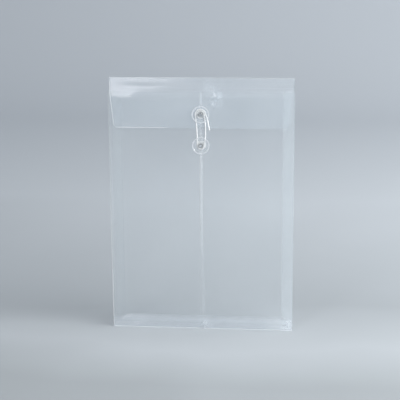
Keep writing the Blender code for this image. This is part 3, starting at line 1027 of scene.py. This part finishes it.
def make_washer(name, seat, body, material):
    bore = RIVET_BARREL + SPIN_GAP
    profile = [(bore, WASHER_BACK), (WASHER_RADIUS, WASHER_BACK), (WASHER_RADIUS, WASHER_FRONT),
               (bore, WASHER_FRONT)]
    item = turned(name + "_backing", rounded(profile, WASHER_ROUND), seat, RING_SIDES, material)
    dress(item, body, "washer", name + "_washer")


def make_closures(materials):
    for name, seat, body in (("upper", UPPER_SEAT, "flap"), ("lower", LOWER_SEAT, "front")):
        make_button(name, seat, materials["button"], materials["lip"])
        make_rivet(name, seat, body, materials["metal"], materials["bore"])
        make_washer(name, seat, body, materials["washer"])


def winding(seat, radius, first, last):
    """Points of a turn round a button's boss, seen from the front, from one angle to another."""
    count = max(2, round(abs(last - first) / (2.0 * math.pi) * LOOP_POINTS))
    angles = [first + (last - first) * step / count for step in range(count + 1)]
    return [seat + Vector((radius * math.cos(a), -STRING_LIFT, radius * math.sin(a))) for a in angles]


def string_route():
    """The string from its trapped end, wound round both bosses, to its free end."""
    spacing = UPPER_SEAT.z - LOWER_SEAT.z
    leave = (UPPER_SEAT.z - FLAP_END_Z) / spacing
    arrive = 1.0 - BUTTON_RADIUS / spacing

    def run(side, points):
        made = []
        for bow, share in points:
            depth = UPPER_SEAT.lerp(LOWER_SEAT, ease(leave, arrive, share)).y - STRING_LIFT
            made.append(Vector((side * (STRING_INNER + bow), depth, UPPER_SEAT.z - share * spacing)))
        return made

    route = winding(UPPER_SEAT, STRING_INNER, STRING_START, 0.0)
    route += run(1.0, RIGHT_RUN)
    route += winding(LOWER_SEAT, STRING_INNER, 0.0, -math.pi)
    route += run(-1.0, LEFT_RUN)
    route += winding(UPPER_SEAT, STRING_OUTER, math.pi, 0.0)
    route += [UPPER_SEAT + Vector((STRING_OUTER + out, -STRING_LIFT, -down)) for out, down in TAIL]
    return route


def smooth_path(route, step):
    """Evenly spaced points on a smooth curve through the route's points, and its length."""
    ends = [2.0 * route[0] - route[1], *route, 2.0 * route[-1] - route[-2]]
    fine = [route[0]]
    for a, b, c, d in zip(ends, ends[1:], ends[2:], ends[3:]):
        for part in range(1, CURVE_STEPS + 1):
            t = part / CURVE_STEPS
            fine.append(0.5 * (2.0 * b + (c - a) * t + (2.0 * a - 5.0 * b + 4.0 * c - d) * t ** 2
                               + (3.0 * b - a - 3.0 * c + d) * t ** 3))
    points = numpy.array([tuple(point) for point in fine])
    lengths = numpy.linalg.norm(numpy.diff(points, axis=0), axis=1)
    travel = numpy.concatenate([[0.0], numpy.cumsum(lengths)])
    marks = numpy.linspace(0.0, travel[-1], round(travel[-1] / step) + 1)
    path = numpy.stack([numpy.interp(marks, travel, points[:, axis]) for axis in range(3)], axis=1)
    return path, float(travel[-1])


def make_string(material):
    """Three twisted strands, modelled as one lobed tube along the winding."""
    path, length = smooth_path(string_route(), STRING_STEP)
    radius = STRING_DIAMETER / 2.0

    def section(distance, angle):
        lobe = abs(math.cos(STRANDS / 2.0 * angle - STRANDS * math.pi * distance / STRING_PITCH))
        cut_end = 1.0 - END_TAPER * math.exp(-(length - distance) / END_TAPER_REACH)
        return radius * (1.0 - STRAND_DEPTH + STRAND_DEPTH * lobe) * cut_end

    item = tube("wound_string", path.tolist(), section, material, 180.0)
    dress(item, "flap", "string", "tie_string")


# Camera, light and floor

def make_camera():
    camera = bpy.data.objects.new("camera", bpy.data.cameras.new("camera"))
    bpy.context.scene.collection.objects.link(camera)
    camera.data.lens = CAMERA_LENS
    camera.data.sensor_width = CAMERA_SENSOR
    aim = (CAMERA_TARGET - CAMERA_PLACE).to_track_quat("-Z", "Y").to_matrix().to_4x4()
    camera.matrix_world = Matrix.Translation(CAMERA_PLACE) @ aim @ Matrix.Rotation(CAMERA_ROLL, 4, "Z")
    bpy.context.scene.camera = camera


def make_floor(material):
    """A floor that sweeps up into a far backdrop."""
    profile = [(-FLOOR_REACH, 0.0), (SWEEP_START, 0.0)]
    for step in range(1, SWEEP_STEPS + 1):
        angle = math.radians(90.0) * step / SWEEP_STEPS
        height = SWEEP_RADIUS * (1.0 - math.cos(angle))
        profile.append((SWEEP_START + SWEEP_RADIUS * math.sin(angle), height))
    profile.append((SWEEP_START + SWEEP_RADIUS, BACKDROP_HEIGHT))
    vertices = [(x, y, z) for y, z in profile for x in (-FLOOR_REACH, FLOOR_REACH)]
    faces = [(2 * k, 2 * k + 1, 2 * k + 3, 2 * k + 2) for k in range(len(profile) - 1)]
    mesh = bpy.data.meshes.new("studio_sweep")
    mesh.from_pydata(vertices, [], faces)
    mesh.shade_smooth()
    mesh.materials.append(material)
    sweep = bpy.data.objects.new("studio_sweep", mesh)
    bpy.context.scene.collection.objects.link(sweep)


def make_lamp(name, place, target, size, power, colour=(1.0, 1.0, 1.0)):
    lamp = bpy.data.lights.new(name, "AREA")
    lamp.shape = "RECTANGLE"
    lamp.size, lamp.size_y = size
    lamp.energy = power
    lamp.color = colour
    item = bpy.data.objects.new(name, lamp)
    bpy.context.scene.collection.objects.link(item)
    item.location = place
    item.rotation_euler = (Vector(target) - Vector(place)).to_track_quat("-Z", "Y").to_euler()


def make_lamps():
    """Soft lamps, mostly from the right, and a strip at the upper left, which the flap mirrors."""
    warm = (1.0, 0.99, 0.98)
    make_lamp("key", place=(1.6, -0.55, 0.95), target=(0.0, 0.05, 0.1), size=(1.3, 0.5), power=40.0,
              colour=warm)
    make_lamp("fill", place=(1.6, -1.9, 0.9), target=(0.0, 0.0, 0.2), size=(0.8, 0.8), power=25.0)
    make_lamp("backdrop", place=(2.2, 0.7, 1.4), target=(0.8, 1.9, 0.4), size=(0.8, 0.8), power=22.0,
              colour=warm)
    make_lamp("strip", place=(-0.60, -1.30, 1.25), target=(-0.1, 0.0, 0.32), size=(0.30, 1.9), power=7.2,
              colour=(0.97, 0.95, 1.0))
    make_lamp("low side", place=(1.45, -0.75, 0.15), target=(0.1, 0.0, 0.15), size=(0.3, 0.5), power=0.3)


def make_sky():
    """An even sky."""
    world = bpy.data.worlds.new("even sky")
    world.use_nodes = True
    sky = world.node_tree.nodes["Background"]
    sky.inputs["Color"].default_value = SKY_COLOUR
    sky.inputs["Strength"].default_value = SKY_STRENGTH
    bpy.context.scene.world = world


def main():
    scene = bpy.context.scene
    scene.view_settings.view_transform = "Standard"
    # A view through the bag crosses many faces of clear film
    scene.cycles.transparent_max_bounces = 48
    make_camera()
    make_string(string_material())
    film = film_material()
    fold_highlight = fold_highlight_material()
    edge_highlight = edge_highlight_material()
    welded = weld_material()
    make_back(film)
    make_front(front_material())
    make_weld(welded)
    make_gussets(film, left_gusset_shaded_material(), lit_bottom_material())
    make_rear_slope(film)
    cloudy = flap_material()
    make_ridge_strip(cloudy)
    make_flap(cloudy, edge_highlight)
    make_folds(film, fold_highlight, edge_highlight, welded)
    make_closures({"button": button_material(), "lip": lip_highlight_material(), "metal": shaded_metal_material(),
                   "bore": lit_bore_material(), "washer": washer_material()})
    make_floor(floor_material())
    make_lamps()
    make_sky()


main()
